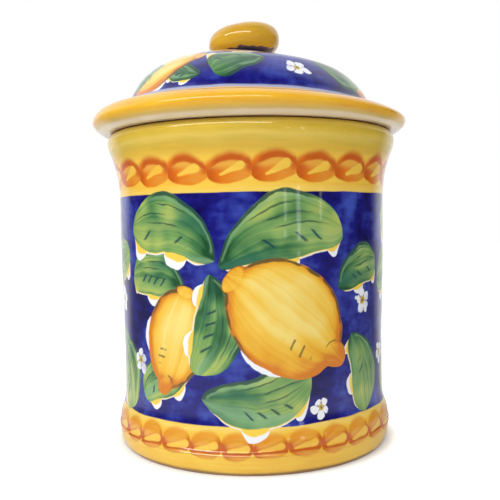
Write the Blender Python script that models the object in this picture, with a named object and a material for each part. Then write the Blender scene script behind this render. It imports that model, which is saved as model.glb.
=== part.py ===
"""Kitchen canister: a glazed earthenware jar with a flanged, domed lid and a hand-pressed knob.

Metres, +Z up. The origin is the middle of the ring that the jar stands on. +X is to the right of
someone who faces the jar and looks along +Y. The lid lifts straight up along the Z axis.

Every piece is thrown or turned, so each one is an outline of (radius, height) carried round an
upright axis. The lid's pieces hang on an empty that lies on that axis at the height of its seat.
"""

import math

import bmesh
import bpy
from mathutils import Vector, geometry

# Clearances and mesh settings
FIT_GAP = 0.0003
MERGE_DISTANCE = 0.00001
ROUND_STEPS = 56
KNOB_STEPS = 44
SMOOTH_ANGLE = math.radians(50)
FULL_TURN = 2 * math.pi

# Jar: the wall, its foot roll and its flared rim
JAR_HEIGHT = 0.1680
WALL_RADIUS = 0.0724
WALL_TAPER = 0.0011
WALL_THICKNESS = 0.0055
FOOT_SPREAD = 0.0036
FOOT_HEIGHT = 0.0300
FOOT_ROUND = 0.0032
FOOT_RING_WIDTH = 0.0090
FOOT_RECESS = 0.0015
FLOOR_THICKNESS = 0.0070
FLOOR_FILLET = 0.0080
RIM_SPREAD = 0.0073
RIM_HEIGHT = 0.0380
RIM_THICKNESS = 0.0085

# Lid: the collar that drops into the mouth, the flange and the dome
COLLAR_PLAY = 0.0010
COLLAR_WALL = 0.0045
COLLAR_DEPTH = 0.0110
COLLAR_LEDGE = 0.0040
LID_WALL = 0.0055
SEAT_MARGIN = 0.0010
FLANGE_OVERHANG = 0.0077
FLANGE_ROUND = 0.0104
FLANGE_EDGE_HEIGHT = 0.0062
FLANGE_THICKNESS = 0.0127
DOME_FOOT_HEIGHT = 0.0190
LID_HEIGHT = 0.0449

# Knob: a ball pressed flat by hand, on a short neck, a little off the lid's middle
KNOB_RADIUS = 0.0200
KNOB_HEIGHT = 0.0172
KNOB_WIDEST_HEIGHT = 0.0070
KNOB_NECK_RADIUS = 0.0125
KNOB_NECK_HEIGHT = 0.0010
KNOB_OFFSET = 0.0028
KNOB_SEAT_MARGIN = 0.0005
KNOB_LEAN_DEGREES = 5.0

# Shares of a bend's reach that its two handles take; the first one makes a quarter of an ellipse
ROUND_SHARE = 0.5523
FLARE_START_SHARE = 0.70
FLARE_END_SHARE = 0.20
UNDERSIDE_SHARE = 0.30
COVE_SHARE = 0.80
DOME_SHARE = 0.45
KNOB_SHARE = 0.70

# Shares of the size that carries each small round or place
FOOT_WIDEST_SHARE = 0.35
LIP_DROP_SHARE = 0.12
OUTER_LIP_SHARE = 0.38
INNER_LIP_SHARE = 0.24
COLLAR_ROUND_SHARE = 0.33
HOLLOW_ROUND_SHARE = 0.40

# Directions in which an outline may run
OUTWARD = Vector((1, 0, 0))
INWARD = Vector((-1, 0, 0))
UPWARD = Vector((0, 0, 1))
DOWNWARD = Vector((0, 0, -1))

# Places that follow from the sizes above
SHOULDER_RADIUS = WALL_RADIUS + WALL_TAPER
SHOULDER_HEIGHT = JAR_HEIGHT - RIM_HEIGHT
FOOT_RADIUS = WALL_RADIUS + FOOT_SPREAD
RIM_RADIUS = WALL_RADIUS + RIM_SPREAD
RIM_WIDEST_HEIGHT = JAR_HEIGHT - LIP_DROP_SHARE * RIM_HEIGHT
MOUTH_RADIUS = RIM_RADIUS - RIM_THICKNESS
THROAT_RADIUS = SHOULDER_RADIUS - WALL_THICKNESS
FLOOR_HEIGHT = FOOT_RECESS + FLOOR_THICKNESS
SEAT_HEIGHT = JAR_HEIGHT + FIT_GAP
COLLAR_RADIUS = min(THROAT_RADIUS, MOUTH_RADIUS) - COLLAR_PLAY
COLLAR_INNER_RADIUS = COLLAR_RADIUS - COLLAR_WALL
HOLLOW_RADIUS = COLLAR_INNER_RADIUS - COLLAR_LEDGE
DOME_RADIUS = HOLLOW_RADIUS + LID_WALL
FLANGE_RADIUS = RIM_RADIUS + FLANGE_OVERHANG
KNOB_SEAT_RADIUS = KNOB_NECK_RADIUS + KNOB_OFFSET + KNOB_SEAT_MARGIN


class Outline:
    """Half of a turned piece's section, as points of radius and height in the XZ plane."""

    def __init__(self, radius, height):
        self.points = [Vector((radius, 0, height))]
        self.closed = False

    def line_to(self, radius, height):
        """Add a straight run."""
        self.points.append(Vector((radius, 0, height)))
        return self

    def bend_to(self, radius, height, leave, arrive, shares=(ROUND_SHARE, ROUND_SHARE), steps=5):
        """Add a smooth bend that leaves along one direction and arrives along another."""
        start = self.points[-1]
        end = Vector((radius, 0, height))
        reach = end - start
        start_handle = start + leave * abs(reach.dot(leave)) * shares[0]
        end_handle = end - arrive * abs(reach.dot(arrive)) * shares[1]
        bend = geometry.interpolate_bezier(start, start_handle, end_handle, end, steps + 1)
        self.points.extend(bend[1:])
        return self

    def close(self):
        """Join the last point to the first, for a piece that has a bore."""
        self.closed = True
        return self


def jar_outline():
    """Foot ring, foot roll, wall, flared rim, then down the inside to the floor."""
    foot_rest = FOOT_RADIUS - FOOT_ROUND
    recess_edge = foot_rest - FOOT_RING_WIDTH
    outer_round = OUTER_LIP_SHARE * RIM_THICKNESS
    inner_round = INNER_LIP_SHARE * RIM_THICKNESS
    inner_wall = WALL_RADIUS - WALL_THICKNESS
    outline = Outline(0, FOOT_RECESS)
    outline.line_to(recess_edge - FOOT_RECESS, FOOT_RECESS)
    outline.line_to(recess_edge, 0)
    outline.line_to(foot_rest, 0)
    outline.bend_to(FOOT_RADIUS, FOOT_WIDEST_SHARE * FOOT_HEIGHT, OUTWARD, UPWARD)
    outline.bend_to(WALL_RADIUS, FOOT_HEIGHT, UPWARD, UPWARD, steps=6)
    outline.bend_to(SHOULDER_RADIUS, SHOULDER_HEIGHT, UPWARD, UPWARD, steps=4)
    flare = (FLARE_START_SHARE, FLARE_END_SHARE)
    outline.bend_to(RIM_RADIUS, RIM_WIDEST_HEIGHT, UPWARD, UPWARD, flare, steps=7)
    outline.bend_to(RIM_RADIUS - outer_round, JAR_HEIGHT, UPWARD, INWARD, steps=4)
    outline.line_to(MOUTH_RADIUS + inner_round, JAR_HEIGHT)
    outline.bend_to(MOUTH_RADIUS, JAR_HEIGHT - inner_round, INWARD, DOWNWARD, steps=3)
    outline.bend_to(THROAT_RADIUS, SHOULDER_HEIGHT, DOWNWARD, DOWNWARD, steps=5)
    outline.line_to(inner_wall, FOOT_HEIGHT)
    outline.line_to(inner_wall, FLOOR_HEIGHT + FLOOR_FILLET)
    outline.bend_to(inner_wall - FLOOR_FILLET, FLOOR_HEIGHT, DOWNWARD, INWARD, steps=4)
    outline.line_to(0, FLOOR_HEIGHT)
    return outline


def lid_outline():
    """Hollow under the dome, flat seat, rounded flange, cove and dome; zero height is the seat."""
    dome = (DOME_SHARE, DOME_SHARE)
    cove = (COVE_SHARE, COVE_SHARE)
    underside = (UNDERSIDE_SHARE, UNDERSIDE_SHARE)
    hollow_round = HOLLOW_ROUND_SHARE * COLLAR_LEDGE
    ceiling = LID_HEIGHT - LID_WALL
    outline = Outline(0, ceiling)
    outline.line_to(KNOB_SEAT_RADIUS, ceiling)
    outline.bend_to(HOLLOW_RADIUS, DOME_FOOT_HEIGHT, OUTWARD, DOWNWARD, dome, steps=7)
    outline.line_to(HOLLOW_RADIUS, hollow_round)
    outline.bend_to(HOLLOW_RADIUS + hollow_round, 0, DOWNWARD, OUTWARD, steps=2)
    outline.line_to(RIM_RADIUS + SEAT_MARGIN, 0)
    outline.bend_to(FLANGE_RADIUS, FLANGE_EDGE_HEIGHT, OUTWARD, UPWARD, underside, steps=4)
    outline.bend_to(FLANGE_RADIUS - FLANGE_ROUND, FLANGE_THICKNESS, UPWARD, INWARD)
    outline.bend_to(DOME_RADIUS, DOME_FOOT_HEIGHT, INWARD, UPWARD, cove)
    outline.bend_to(KNOB_SEAT_RADIUS, LID_HEIGHT, UPWARD, INWARD, dome, steps=9)
    outline.line_to(0, LID_HEIGHT)
    return outline


def collar_outline():
    """Plain ring with a rounded lower edge; zero height is the lid's seat."""
    top = -FIT_GAP
    bottom = -COLLAR_DEPTH
    edge_round = COLLAR_ROUND_SHARE * COLLAR_WALL
    outline = Outline(COLLAR_INNER_RADIUS, top)
    outline.line_to(COLLAR_INNER_RADIUS, bottom + edge_round)
    outline.bend_to(COLLAR_INNER_RADIUS + edge_round, bottom, DOWNWARD, OUTWARD, steps=2)
    outline.line_to(COLLAR_RADIUS - edge_round, bottom)
    outline.bend_to(COLLAR_RADIUS, bottom + edge_round, OUTWARD, UPWARD, steps=2)
    outline.line_to(COLLAR_RADIUS, top)
    return outline.close()


def knob_outline():
    """Short neck under a flattened ball; zero height is the neck's foot."""
    outline = Outline(0, 0)
    outline.line_to(KNOB_NECK_RADIUS, 0)
    outline.line_to(KNOB_NECK_RADIUS, KNOB_NECK_HEIGHT)
    outline.bend_to(KNOB_RADIUS, KNOB_WIDEST_HEIGHT, OUTWARD, UPWARD)
    outline.bend_to(0, KNOB_HEIGHT, UPWARD, INWARD, (KNOB_SHARE, KNOB_SHARE), steps=8)
    return outline


def turned_mesh(name, outline, steps):
    """Carry an outline once round the Z axis and weld it into one closed body."""
    body = bmesh.new()
    corners = [body.verts.new(point) for point in outline.points]
    followers = corners[1:] + corners[:1] if outline.closed else corners[1:]
    edges = [body.edges.new(pair) for pair in zip(corners, followers)]
    bmesh.ops.spin(body, geom=corners + edges, axis=UPWARD, cent=(0, 0, 0), angle=FULL_TURN, steps=steps)
    bmesh.ops.remove_doubles(body, verts=body.verts, dist=MERGE_DISTANCE)
    bmesh.ops.recalc_face_normals(body, faces=body.faces)
    mesh = bpy.data.meshes.new(name)
    body.to_mesh(mesh)
    body.free()
    mesh.shade_smooth()
    mesh.set_sharp_from_angle(angle=SMOOTH_ANGLE)
    return mesh


def lean_ball(mesh):
    """Lift the knob's right side and sink its left, as a thumb does, and leave the neck level."""
    slope = math.tan(math.radians(KNOB_LEAN_DEGREES))
    rise = KNOB_WIDEST_HEIGHT - KNOB_NECK_HEIGHT
    for corner in mesh.vertices:
        share = (corner.co.z - KNOB_NECK_HEIGHT) / rise
        corner.co.z += slope * corner.co.x * min(max(share, 0), 1)


def glaze(name, colour, roughness):
    """A fired glaze: not metallic, of one colour and roughness."""
    material = bpy.data.materials.new(name)
    material.use_nodes = True
    shader = material.node_tree.nodes["Principled BSDF"]
    shader.inputs["Base Color"].default_value = (*colour, 1)
    shader.inputs["Roughness"].default_value = roughness
    shader.inputs["Metallic"].default_value = 0
    return material


def add_piece(name, mesh, material, location=(0, 0, 0), parent=None):
    """Put a mesh in the scene as a named piece."""
    mesh.materials.append(material)
    piece = bpy.data.objects.new(name, mesh)
    bpy.context.scene.collection.objects.link(piece)
    piece.parent = parent
    piece.location = location
    return piece


def build_jar():
    """The pot itself, thrown in one piece: floor, wall, foot roll and rim."""
    mesh = turned_mesh("jar_body", jar_outline(), ROUND_STEPS)
    add_piece("jar_body", mesh, glaze("cobalt_glaze", (0.035, 0.045, 0.31), 0.15))


def build_lid():
    """The lid: its shell, the collar luted under the shell and the knob luted on top."""
    lid = bpy.data.objects.new("lid", None)
    bpy.context.scene.collection.objects.link(lid)
    lid.location = (0, 0, SEAT_HEIGHT)

    shell = turned_mesh("lid_dome", lid_outline(), ROUND_STEPS)
    add_piece("lid_dome", shell, glaze("gold_glaze", (0.83, 0.48, 0.04), 0.15), parent=lid)

    collar = turned_mesh("lid_collar", collar_outline(), ROUND_STEPS)
    add_piece("lid_collar", collar, glaze("white_glaze", (0.80, 0.77, 0.70), 0.2), parent=lid)

    knob = turned_mesh("lid_knob", knob_outline(), KNOB_STEPS)
    lean_ball(knob)
    knob_foot = (-KNOB_OFFSET, 0, LID_HEIGHT + FIT_GAP)
    add_piece("lid_knob", knob, glaze("knob_glaze", (0.78, 0.47, 0.06), 0.15), knob_foot, lid)


def main():
    for leftover in list(bpy.data.objects):
        bpy.data.objects.remove(leftover)
    build_jar()
    build_lid()


main()
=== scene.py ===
"""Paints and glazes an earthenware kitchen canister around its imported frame.

The jar, the lid's shell, its collar and its knob are turned surfaces, worked out with numpy from
the potter's sizes. The glaze is hand painting: lemons, leaves and blossoms on cobalt, between
yellow bands with an orange rope border. Every painted figure is a shader node group that is placed
on the pot with its own size, turn and tone. Lengths are metres, +Z is up and the front faces -Y.
"""

from __future__ import annotations

import logging
import math
from collections.abc import Callable
from dataclasses import dataclass
from enum import Enum

import bpy
import numpy as np
from mathutils import Matrix, Vector

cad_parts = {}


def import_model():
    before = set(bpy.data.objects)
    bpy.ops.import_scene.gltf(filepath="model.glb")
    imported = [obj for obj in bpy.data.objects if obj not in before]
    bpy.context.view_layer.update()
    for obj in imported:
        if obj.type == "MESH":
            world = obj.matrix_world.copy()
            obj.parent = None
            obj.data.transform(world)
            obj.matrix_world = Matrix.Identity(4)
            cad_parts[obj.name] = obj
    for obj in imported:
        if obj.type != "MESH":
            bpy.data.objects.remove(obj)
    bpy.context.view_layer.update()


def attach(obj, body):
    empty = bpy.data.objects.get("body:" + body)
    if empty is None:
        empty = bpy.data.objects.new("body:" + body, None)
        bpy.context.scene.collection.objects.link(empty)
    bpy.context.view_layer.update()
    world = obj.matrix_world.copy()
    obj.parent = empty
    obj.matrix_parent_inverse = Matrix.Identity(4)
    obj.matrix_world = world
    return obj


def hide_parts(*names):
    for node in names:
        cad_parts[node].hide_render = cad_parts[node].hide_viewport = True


LOG = logging.getLogger("canister")
RUN_ATTRIBUTE = "run"
FULL_TURN = 2 * math.pi
TINY = 1e-4
ON_AXIS = 1e-8
SHARP_EDGE = math.radians(50)
CURVE_SAMPLES = 2001
FEWEST_STEPS = 4
BRUSH_SOFTNESS = 0.00026

Colour = tuple[float, float, float, float]
Point = tuple[float, float, float]


def linear(red: int, green: int, blue: int) -> Colour:
    """Turn a colour as a screen shows it into the linear values that a shader takes.

    The curve is the screen's own: a straight line near black and a power of 2.4 above it.

    Args:
        red: The red part, 0 to 255.
        green: The green part, 0 to 255.
        blue: The blue part, 0 to 255.

    Returns:
        The colour in linear values, with full opacity.
    """
    parts = np.array([red, green, blue]) / 255
    values = np.where(parts > 0.04045, ((parts + 0.055) / 1.055) ** 2.4, parts / 12.92)
    return (float(values[0]), float(values[1]), float(values[2]), 1.0)


class Pigment(Enum):
    """The painter's colours, fired on white tin glaze, and some painted shade, as red, green and blue on a
    screen.
    """

    TIN_WHITE = (240, 234, 220)
    RESERVE_WHITE = (240, 242, 248)
    BISCUIT = (176, 116, 84)
    # Toasted bare clay; on the jar's foot it is also painted contact shadow.
    TOASTED_CLAY_AND_SHADE = (122, 84, 54)
    UNDERSIDE = (230, 208, 170)
    DEEP_COBALT = (12, 4, 76)
    COBALT = (26, 26, 124)
    PALE_COBALT = (62, 80, 176)
    LAVENDER = (160, 166, 200)
    GOLD = (238, 188, 54)
    DEEP_GOLD = (226, 156, 36)
    OLIVE_GOLD = (200, 170, 58)
    HONEY = (194, 150, 46)
    # Painted shade: the gold in shadow under the lid's flange, with the rim's yellow reflected in it.
    SHADED_RIM_REFLECTION = (216, 178, 72)
    SUN = (242, 198, 76)
    BUTTER = (246, 208, 82)
    CREAM = (246, 220, 126)
    STRAW = (234, 172, 46)
    TANGERINE = (216, 126, 34)
    ORANGE = (222, 116, 10)
    BURNT_ORANGE = (192, 78, 4)
    PALE_ORANGE = (228, 156, 58)
    FOREST = (26, 76, 42)
    LEAF = (68, 120, 72)
    FRESH = (122, 162, 92)
    LIME = (178, 192, 100)
    TEAL = (48, 108, 88)
    MINT = (138, 182, 138)
    SLATE = (44, 76, 66)
    TEAL_INK = (22, 66, 76)
    OLIVE_INK = (84, 76, 44)
    BLUE_INK = (30, 40, 92)

    @property
    def colour(self) -> Colour:
        """The pigment in linear values."""
        return linear(*self.value)


def add_object(name: str, data: bpy.types.ID) -> bpy.types.Object:
    """Put a mesh, a lamp or a camera into the scene.

    Args:
        name: The object's name.
        data: What it shows.

    Returns:
        The object, at the origin.
    """
    made = bpy.data.objects.new(name, data)
    bpy.context.scene.collection.objects.link(made)
    return made


# Turned shapes


OUTWARD = np.array([1.0, 0.0])
INWARD = -OUTWARD
UPWARD = np.array([0.0, 1.0])
DOWNWARD = -UPWARD
QUARTER_ROUND = (0.5523, 0.5523)


class Outline:
    """Half of a turned piece's section, as closely spaced rows of radius and height.

    Args:
        radius: The first point's distance from the axis.
        height: The first point's height.
    """

    def __init__(self, radius: float, height: float) -> None:
        """Start at the first point."""
        self.pieces: list[np.ndarray] = [np.array([[radius, height]])]
        self.marks: dict[str, int] = {}

    @property
    def rows(self) -> np.ndarray:
        """All points, one row of radius and height each."""
        return np.concatenate(self.pieces)

    def line_to(self, radius: float, height: float, spacing: float = 0.0015) -> Outline:
        """Add a straight run.

        Args:
            radius: The run's last distance from the axis.
            height: The run's last height.
            spacing: The distance between its points.

        Returns:
            The outline itself.
        """
        start = self.pieces[-1][-1]
        end = np.array([radius, height])
        count = max(1, round(float(np.linalg.norm(end - start)) / spacing))
        share = np.arange(1, count + 1)[:, None] / count
        self.pieces.append(start + (end - start) * share)
        return self

    def bend_to(
        self,
        radius: float,
        height: float,
        leave: np.ndarray,
        arrive: np.ndarray,
        shares: tuple[float, float] = QUARTER_ROUND,
        spacing: float = 0.0008,
        crowd: tuple[float, float, float] | None = None,
    ) -> Outline:
        """Add a cubic bend whose two handles are shares of its reach in their directions.

        Points stand where the distance passed, measured in spacings, is a whole number.

        Args:
            radius: The bend's last distance from the axis.
            height: The bend's last height.
            leave: The direction in which it leaves.
            arrive: The direction in which it arrives.
            shares: The shares of the reach that the two handles take.
            spacing: The distance between its points, roughly.
            crowd: A lowest and a highest height between which points stand closer, and how close.

        Returns:
            The outline itself.
        """
        start = self.pieces[-1][-1]
        end = np.array([radius, height])
        reach = end - start
        first = start + leave * abs(float(reach @ leave)) * shares[0]
        second = end - arrive * abs(float(reach @ arrive)) * shares[1]
        t = np.linspace(0, 1, CURVE_SAMPLES)[:, None]
        s = 1 - t
        curve = start * s**3 + first * 3 * s**2 * t + second * 3 * s * t**2 + end * t**3
        low, high, close = crowd or (0.0, 0.0, spacing)
        height_there = (curve[1:, 1] + curve[:-1, 1]) / 2
        wished = np.where((height_there > low) & (height_there < high), close, spacing)
        steps = np.linalg.norm(np.diff(curve, axis=0), axis=1) / wished
        passed = np.concatenate([[0.0], np.cumsum(steps)])
        count = max(FEWEST_STEPS, round(float(passed[-1])))
        wanted = np.arange(1, count + 1) * passed[-1] / count
        self.pieces.append(np.stack([np.interp(wanted, passed, curve[:, i]) for i in (0, 1)], axis=1))
        return self

    def mark(self, name: str) -> Outline:
        """Remember the place reached so far, so that a glaze can begin or end there.

        Args:
            name: The place's name.

        Returns:
            The outline itself.
        """
        self.marks[name] = len(self.rows) - 1
        return self

    @property
    def runs(self) -> np.ndarray:
        """Each row's distance from the first one, along the outline."""
        steps = np.linalg.norm(np.diff(self.rows, axis=0), axis=1)
        return np.concatenate([[0.0], np.cumsum(steps)])

    def run_at(self, name: str) -> float:
        """Give a marked place's distance from the outline's first point."""
        return float(self.runs[self.marks[name]])


Shaping = Callable[[np.ndarray, np.ndarray, np.ndarray], tuple[np.ndarray, np.ndarray]]


@dataclass(frozen=True)
class TurnedSurface:
    """An outline carried once round an upright axis.

    A point at radius r, height h and angle a lies at (r sin a, -r cos a, h). A row on the axis is
    one shared point, so the poles are closed, and the last angle joins the first.
    """

    name: str
    outline: Outline
    around: int = 256
    closed: bool = False
    shaping: Shaping | None = None
    centre: Point = (0.0, 0.0, 0.0)

    def build(self) -> bpy.types.Object:
        """Make the mesh object.

        Returns:
            The object, in the scene, at the origin, with each point's run in an attribute.
        """
        rows, runs = self.outline.rows, self.outline.runs
        angles = np.arange(self.around) * FULL_TURN / self.around
        radius = np.repeat(rows[:, 0:1], self.around, axis=1)
        height = np.repeat(rows[:, 1:2], self.around, axis=1)
        turn = np.repeat(angles[None, :], len(rows), axis=0)
        if self.shaping is not None:
            radius, height = self.shaping(radius, height, turn)
        grid = np.stack([radius * np.sin(turn), -radius * np.cos(turn), height], axis=-1)
        grid = grid + np.array(self.centre)

        on_axis = rows[:, 0] < ON_AXIS
        counts = np.where(on_axis, 1, self.around)
        starts = np.concatenate([[0], np.cumsum(counts)[:-1]])
        index = starts[:, None] + np.where(on_axis[:, None], 0, np.arange(self.around)[None, :])
        points = np.concatenate([grid[i, : counts[i]] for i in range(len(rows))])
        point_runs = np.repeat(runs, counts)

        following = index[1:] if not self.closed else np.roll(index, -1, axis=0)
        leading = index[:-1] if not self.closed else index
        quads = np.stack(
            [leading, np.roll(leading, -1, axis=1), np.roll(following, -1, axis=1), following], axis=-1
        ).reshape(-1, 4)
        start_pole = quads[:, 0] == quads[:, 1]
        end_pole = quads[:, 2] == quads[:, 3]
        faces = [
            *quads[~start_pole & ~end_pole].tolist(),
            *quads[start_pole][:, [0, 2, 3]].tolist(),
            *quads[end_pole][:, [0, 1, 2]].tolist(),
        ]
        mesh = bpy.data.meshes.new(self.name)
        mesh.from_pydata(points.tolist(), [], faces)
        run = mesh.attributes.new(RUN_ATTRIBUTE, "FLOAT", "POINT")
        run.data.foreach_set("value", point_runs.astype(np.float32))
        mesh.shade_smooth()
        mesh.set_sharp_from_angle(angle=SHARP_EDGE)
        mesh.update()
        return add_object(self.name, mesh)


# Node wiring


@dataclass(frozen=True)
class Signal:
    """One value, vector or colour in a node tree, with which plain sums can be written."""

    wiring: Wiring
    socket: bpy.types.NodeSocket

    def __add__(self, other: Value) -> "Signal":
        """Add."""
        return self.wiring.math("ADD", self, other)

    def __radd__(self, other: Value) -> "Signal":
        """Add."""
        return self.wiring.math("ADD", other, self)

    def __sub__(self, other: Value) -> "Signal":
        """Take away."""
        return self.wiring.math("SUBTRACT", self, other)

    def __rsub__(self, other: Value) -> "Signal":
        """Take from."""
        return self.wiring.math("SUBTRACT", other, self)

    def __mul__(self, other: Value) -> "Signal":
        """Multiply."""
        return self.wiring.math("MULTIPLY", self, other)

    def __rmul__(self, other: Value) -> "Signal":
        """Multiply."""
        return self.wiring.math("MULTIPLY", other, self)

    def __truediv__(self, other: Value) -> "Signal":
        """Divide."""
        return self.wiring.math("DIVIDE", self, other)

    def __pow__(self, other: Value) -> "Signal":
        """Raise to a power."""
        return self.wiring.math("POWER", self, other)

    def __abs__(self) -> "Signal":
        """Drop the sign."""
        return self.wiring.math("ABSOLUTE", self)


Value = Signal | float
Stops = tuple[tuple[float, Pigment], ...]


class Wiring:
    """Adds nodes to a tree in working order and joins them, so that a pattern reads as a formula.

    Args:
        tree: The material's or the group's node tree.
    """

    def __init__(self, tree: bpy.types.NodeTree) -> None:
        """Keep the tree to add to."""
        self.tree = tree

    def node(self, kind: str, **settings: object) -> bpy.types.Node:
        """Add one node and set its own settings.

        Args:
            kind: The node's type.
            **settings: The settings, by name.

        Returns:
            The node.
        """
        made = self.tree.nodes.new(kind)
        for name, value in settings.items():
            setattr(made, name, value)
        return made

    def feed(self, socket: bpy.types.NodeSocket, value: Value | Colour | Point | Pigment) -> None:
        """Join a signal to a socket, or set the socket's own value.

        Args:
            socket: The input socket.
            value: What to give it.
        """
        if isinstance(value, Signal):
            self.tree.links.new(value.socket, socket)
        elif isinstance(value, Pigment):
            socket.default_value = value.colour
        else:
            socket.default_value = value

    def math(self, operation: str, *values: Value) -> Signal:
        """Work out one sum of plain numbers.

        Args:
            operation: The Math node's operation.
            *values: Its numbers, in order.

        Returns:
            The result.
        """
        made = self.node("ShaderNodeMath", operation=operation)
        for socket, value in zip(made.inputs, values):
            self.feed(socket, value)
        return Signal(self, made.outputs[0])

    def clamp(self, value: Value) -> Signal:
        """Keep a value between 0 and 1.

        Args:
            value: The value.

        Returns:
            The value within its limits.
        """
        made = self.node("ShaderNodeClamp")
        self.feed(made.inputs["Value"], value)
        return Signal(self, made.outputs["Result"])

    def smooth(self, value: Value, low: Value, high: Value) -> Signal:
        """Rise smoothly from 0 at low to 1 at high.

        Args:
            value: The value to read.
            low: Where the rise starts; above high, the result falls instead.
            high: Where the rise ends.

        Returns:
            A share between 0 and 1.
        """
        made = self.node("ShaderNodeMapRange", interpolation_type="SMOOTHSTEP", clamp=False)
        for name, given in (("Value", value), ("From Min", low), ("From Max", high)):
            self.feed(made.inputs[name], given)
        return Signal(self, made.outputs["Result"])

    def inside(self, edge: Value, softness: float) -> Signal:
        """Give 1 where a distance to an edge is positive and 0 where it isn't, softly."""
        return self.smooth(edge, -softness, softness)

    def filled(self, edge: Signal, spread: Signal) -> Signal:
        """Give 1 inside a figure's edge, and a little past it where no bare ground spreads round it."""
        past = self.math("MAXIMUM", 2 * BRUSH_SOFTNESS - spread, 0.0)
        return self.inside(edge + past, BRUSH_SOFTNESS)

    def stroke(self, distance: Signal, half_width: Value, softness: float) -> Signal:
        """Give 1 on a painted line and 0 off it, from the distance to its middle."""
        return self.inside(half_width - abs(distance), softness)

    def between(self, value: Signal, low: float, high: float, softness: float) -> Signal:
        """Give 1 where a value lies between two limits, softly."""
        rise = self.smooth(value, low - softness, low + softness)
        return rise * self.smooth(value, high + softness, high - softness)

    def distance(self, across: Signal, up: Signal) -> Signal:
        """Give the root of the sum of two places' squares."""
        return self.math("SQRT", across * across + up * up)

    def separate(self, vector: Signal) -> tuple[Signal, ...]:
        """Split a vector into its three values.

        Args:
            vector: The vector.

        Returns:
            Its X, Y and Z.
        """
        made = self.node("ShaderNodeSeparateXYZ")
        self.feed(made.inputs[0], vector)
        return tuple(Signal(self, socket) for socket in made.outputs)

    def stretch(self, vector: Signal, factors: Point) -> Signal:
        """Multiply a vector's three values.

        Args:
            vector: The vector.
            factors: What to multiply each value by.

        Returns:
            The stretched vector.
        """
        made = self.node("ShaderNodeMapping", vector_type="POINT")
        self.feed(made.inputs["Vector"], vector)
        self.feed(made.inputs["Scale"], factors)
        return Signal(self, made.outputs[0])

    def bristles(self, value: Signal, scale: float, detail: float = 3.0) -> Signal:
        """Read a noise between 0 and 1 along a line, for the streaks across a brush stroke.

        Args:
            value: The place on the line.
            scale: How close the streaks stand.
            detail: How many finer streaks are added.

        Returns:
            The noise.
        """
        return Signal(self, self._noise(value, scale, detail, roughness=0.6, source="W").outputs["Fac"])

    def noise(self, vector: Signal, scale: float, detail: float = 2.0, roughness: float = 0.5) -> Signal:
        """Read a cloudy noise between 0 and 1."""
        return Signal(self, self._noise(vector, scale, detail, roughness).outputs["Fac"])

    def drift(self, vector: Signal, scale: float, reach: float) -> tuple[Signal, ...]:
        """Read three noises about 0 that reach a given distance, for an unsteady hand.

        Args:
            vector: The place.
            scale: How quickly the hand wanders.
            reach: How far it wanders, in metres.

        Returns:
            Three distances.
        """
        made = self._noise(vector, scale, detail=1.0, roughness=0.5)
        parts = self.separate(Signal(self, made.outputs["Color"]))
        return tuple((part - 0.5) * (2 * reach) for part in parts)

    def _noise(
        self, place: Signal, scale: float, detail: float, roughness: float, source: str = "Vector"
    ) -> bpy.types.Node:
        """Add a noise node.

        Args:
            place: The place.
            scale: How close its clouds stand.
            detail: How many finer clouds are added.
            roughness: How strong the finer ones are.
            source: The input that takes the place: Vector, or W for a place on a line.

        Returns:
            The node.
        """
        made = self.node("ShaderNodeTexNoise", noise_dimensions="1D" if source == "W" else "3D")
        given = {source: place, "Scale": scale, "Detail": detail, "Roughness": roughness}
        for name, value in given.items():
            self.feed(made.inputs[name], value)
        return made

    def chance(self, value: Signal) -> Signal:
        """Give one number between 0 and 1 for each whole number, always the same one.

        Args:
            value: The whole number.

        Returns:
            The number drawn for it.
        """
        made = self.node("ShaderNodeTexWhiteNoise", noise_dimensions="1D")
        self.feed(made.inputs["W"], value)
        return Signal(self, made.outputs["Value"])

    def ramp(self, value: Value, stops: Stops) -> Signal:
        """Blend along a row of pigments.

        Args:
            value: The place along the row.
            stops: Each pigment and its place, in order.

        Returns:
            The colour.
        """
        made = self.node("ShaderNodeValToRGB")
        elements = made.color_ramp.elements
        while len(elements) < len(stops):
            elements.new(0.5)
        for element, (place, pigment) in zip(elements, stops):
            element.position = place
            element.color = pigment.colour
        self.feed(made.inputs["Fac"], value)
        return Signal(self, made.outputs["Color"])

    def lay(self, under: Signal | Pigment, over: Signal | Pigment, cover: Value) -> Signal:
        """Lay one colour over another where cover is 1.

        Args:
            under: The colour below.
            over: The colour on top.
            cover: How far it covers.

        Returns:
            The colour that shows.
        """
        made = self.node("ShaderNodeMix", data_type="RGBA")
        self.feed(made.inputs[0], cover)
        self.feed(made.inputs[6], under)
        self.feed(made.inputs[7], over)
        return Signal(self, made.outputs[2])

    def blend(self, first: Value, second: Value, share: Value) -> Signal:
        """Blend two plain numbers.

        Args:
            first: The number at share 0.
            second: The number at share 1.
            share: The share.

        Returns:
            The number in between.
        """
        made = self.node("ShaderNodeMix", data_type="FLOAT")
        for socket, value in zip((made.inputs[0], made.inputs[2], made.inputs[3]), (share, first, second)):
            self.feed(socket, value)
        return Signal(self, made.outputs[0])

    def turn(self, across: Value, up: Value, angle: float) -> tuple[Signal, Signal]:
        """Turn a flat place back by an angle, so that a figure drawn level lies at that angle."""
        cosine, sine = math.cos(angle), math.sin(angle)
        return across * cosine + up * sine, up * cosine - across * sine

    def use(self, effect: Effect, **given: Value) -> dict[str, Signal]:
        """Place an effect's group and feed its inputs by name.

        Args:
            effect: The effect.
            **given: Its inputs, by their names in small letters.

        Returns:
            Its outputs, by name.
        """
        made = self.node("ShaderNodeGroup")
        made.node_tree = effect.tree
        for name, value in given.items():
            self.feed(made.inputs[name.title()], value)
        return {socket.name: Signal(self, socket) for socket in made.outputs}

    def position(self) -> Signal:
        """Read the place on the piece, in metres."""
        return Signal(self, self.node("ShaderNodeTexCoord").outputs["Object"])

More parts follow.
